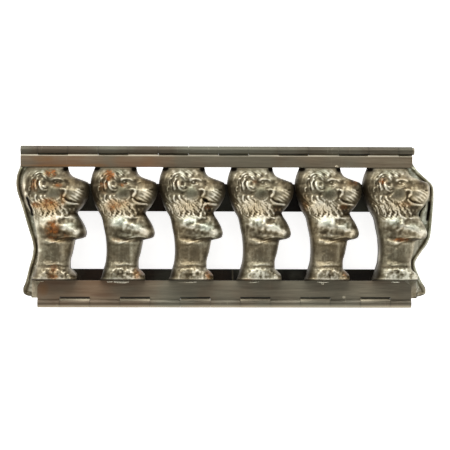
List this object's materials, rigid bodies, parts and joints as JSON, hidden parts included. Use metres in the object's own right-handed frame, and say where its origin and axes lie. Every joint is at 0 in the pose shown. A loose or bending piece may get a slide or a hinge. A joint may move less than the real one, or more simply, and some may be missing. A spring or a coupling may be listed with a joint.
{
  "type": "chocolate mould",
  "caption": "Hinged two-part tin mould that casts a row of standing lion figures; it is closed by a pin above the heads, opens like a book below the feet and lies on two straps.",
  "frame": {"origin": "under the middle of the whole mould, on the surface it lies on, at the back of the two straps", "axes": "+X along the row of figures towards where they look, +Y from the feet to the heads, +Z from the straps to the front"},
  "size_m": [0.278, 0.1074, 0.0345],
  "materials": {
    "front_shells": "old tin plate, worn, with brown patina and spots of rust",
    "rear_shells": "old tin plate, duller than in front",
    "top_leaves": "dull brown-grey steel with a rust tint",
    "bottom_leaves": "dull brown-grey steel with scratches",
    "pins": "worn steel wire",
    "straps": "near-black oxidised steel"
  },
  "bodies": {
    "rear_half": {"rear_lion_1": "rear_shells", "rear_lion_2": "rear_shells", "rear_lion_3": "rear_shells", "rear_lion_4": "rear_shells", "rear_lion_5": "rear_shells", "rear_lion_6": "rear_shells", "rear_top_leaf": "top_leaves", "rear_bottom_leaf": "bottom_leaves", "hinge_pin": "pins", "rear_head_strap": "straps", "rear_foot_strap": "straps"},
    "front_half": {"front_lion_1": "front_shells", "front_lion_2": "front_shells", "front_lion_3": "front_shells", "front_lion_4": "front_shells", "front_lion_5": "front_shells", "front_lion_6": "front_shells", "front_top_leaf": "top_leaves", "front_bottom_leaf": "bottom_leaves"},
    "closing_pin": {"closing_pin": "pins"}
  },
  "joints": [
    {"name": "front_opens", "type": "hinge", "parent": "rear_half", "child": "front_half", "pos_m": [0, -0.05075, 0.01785], "axis": [1, 0, 0], "range_deg": [0, 180]},
    {"name": "pin_draws_out", "type": "slide", "parent": "rear_half", "child": "closing_pin", "axis": [1, 0, 0], "range_m": [0, 0.265]}
  ]
}
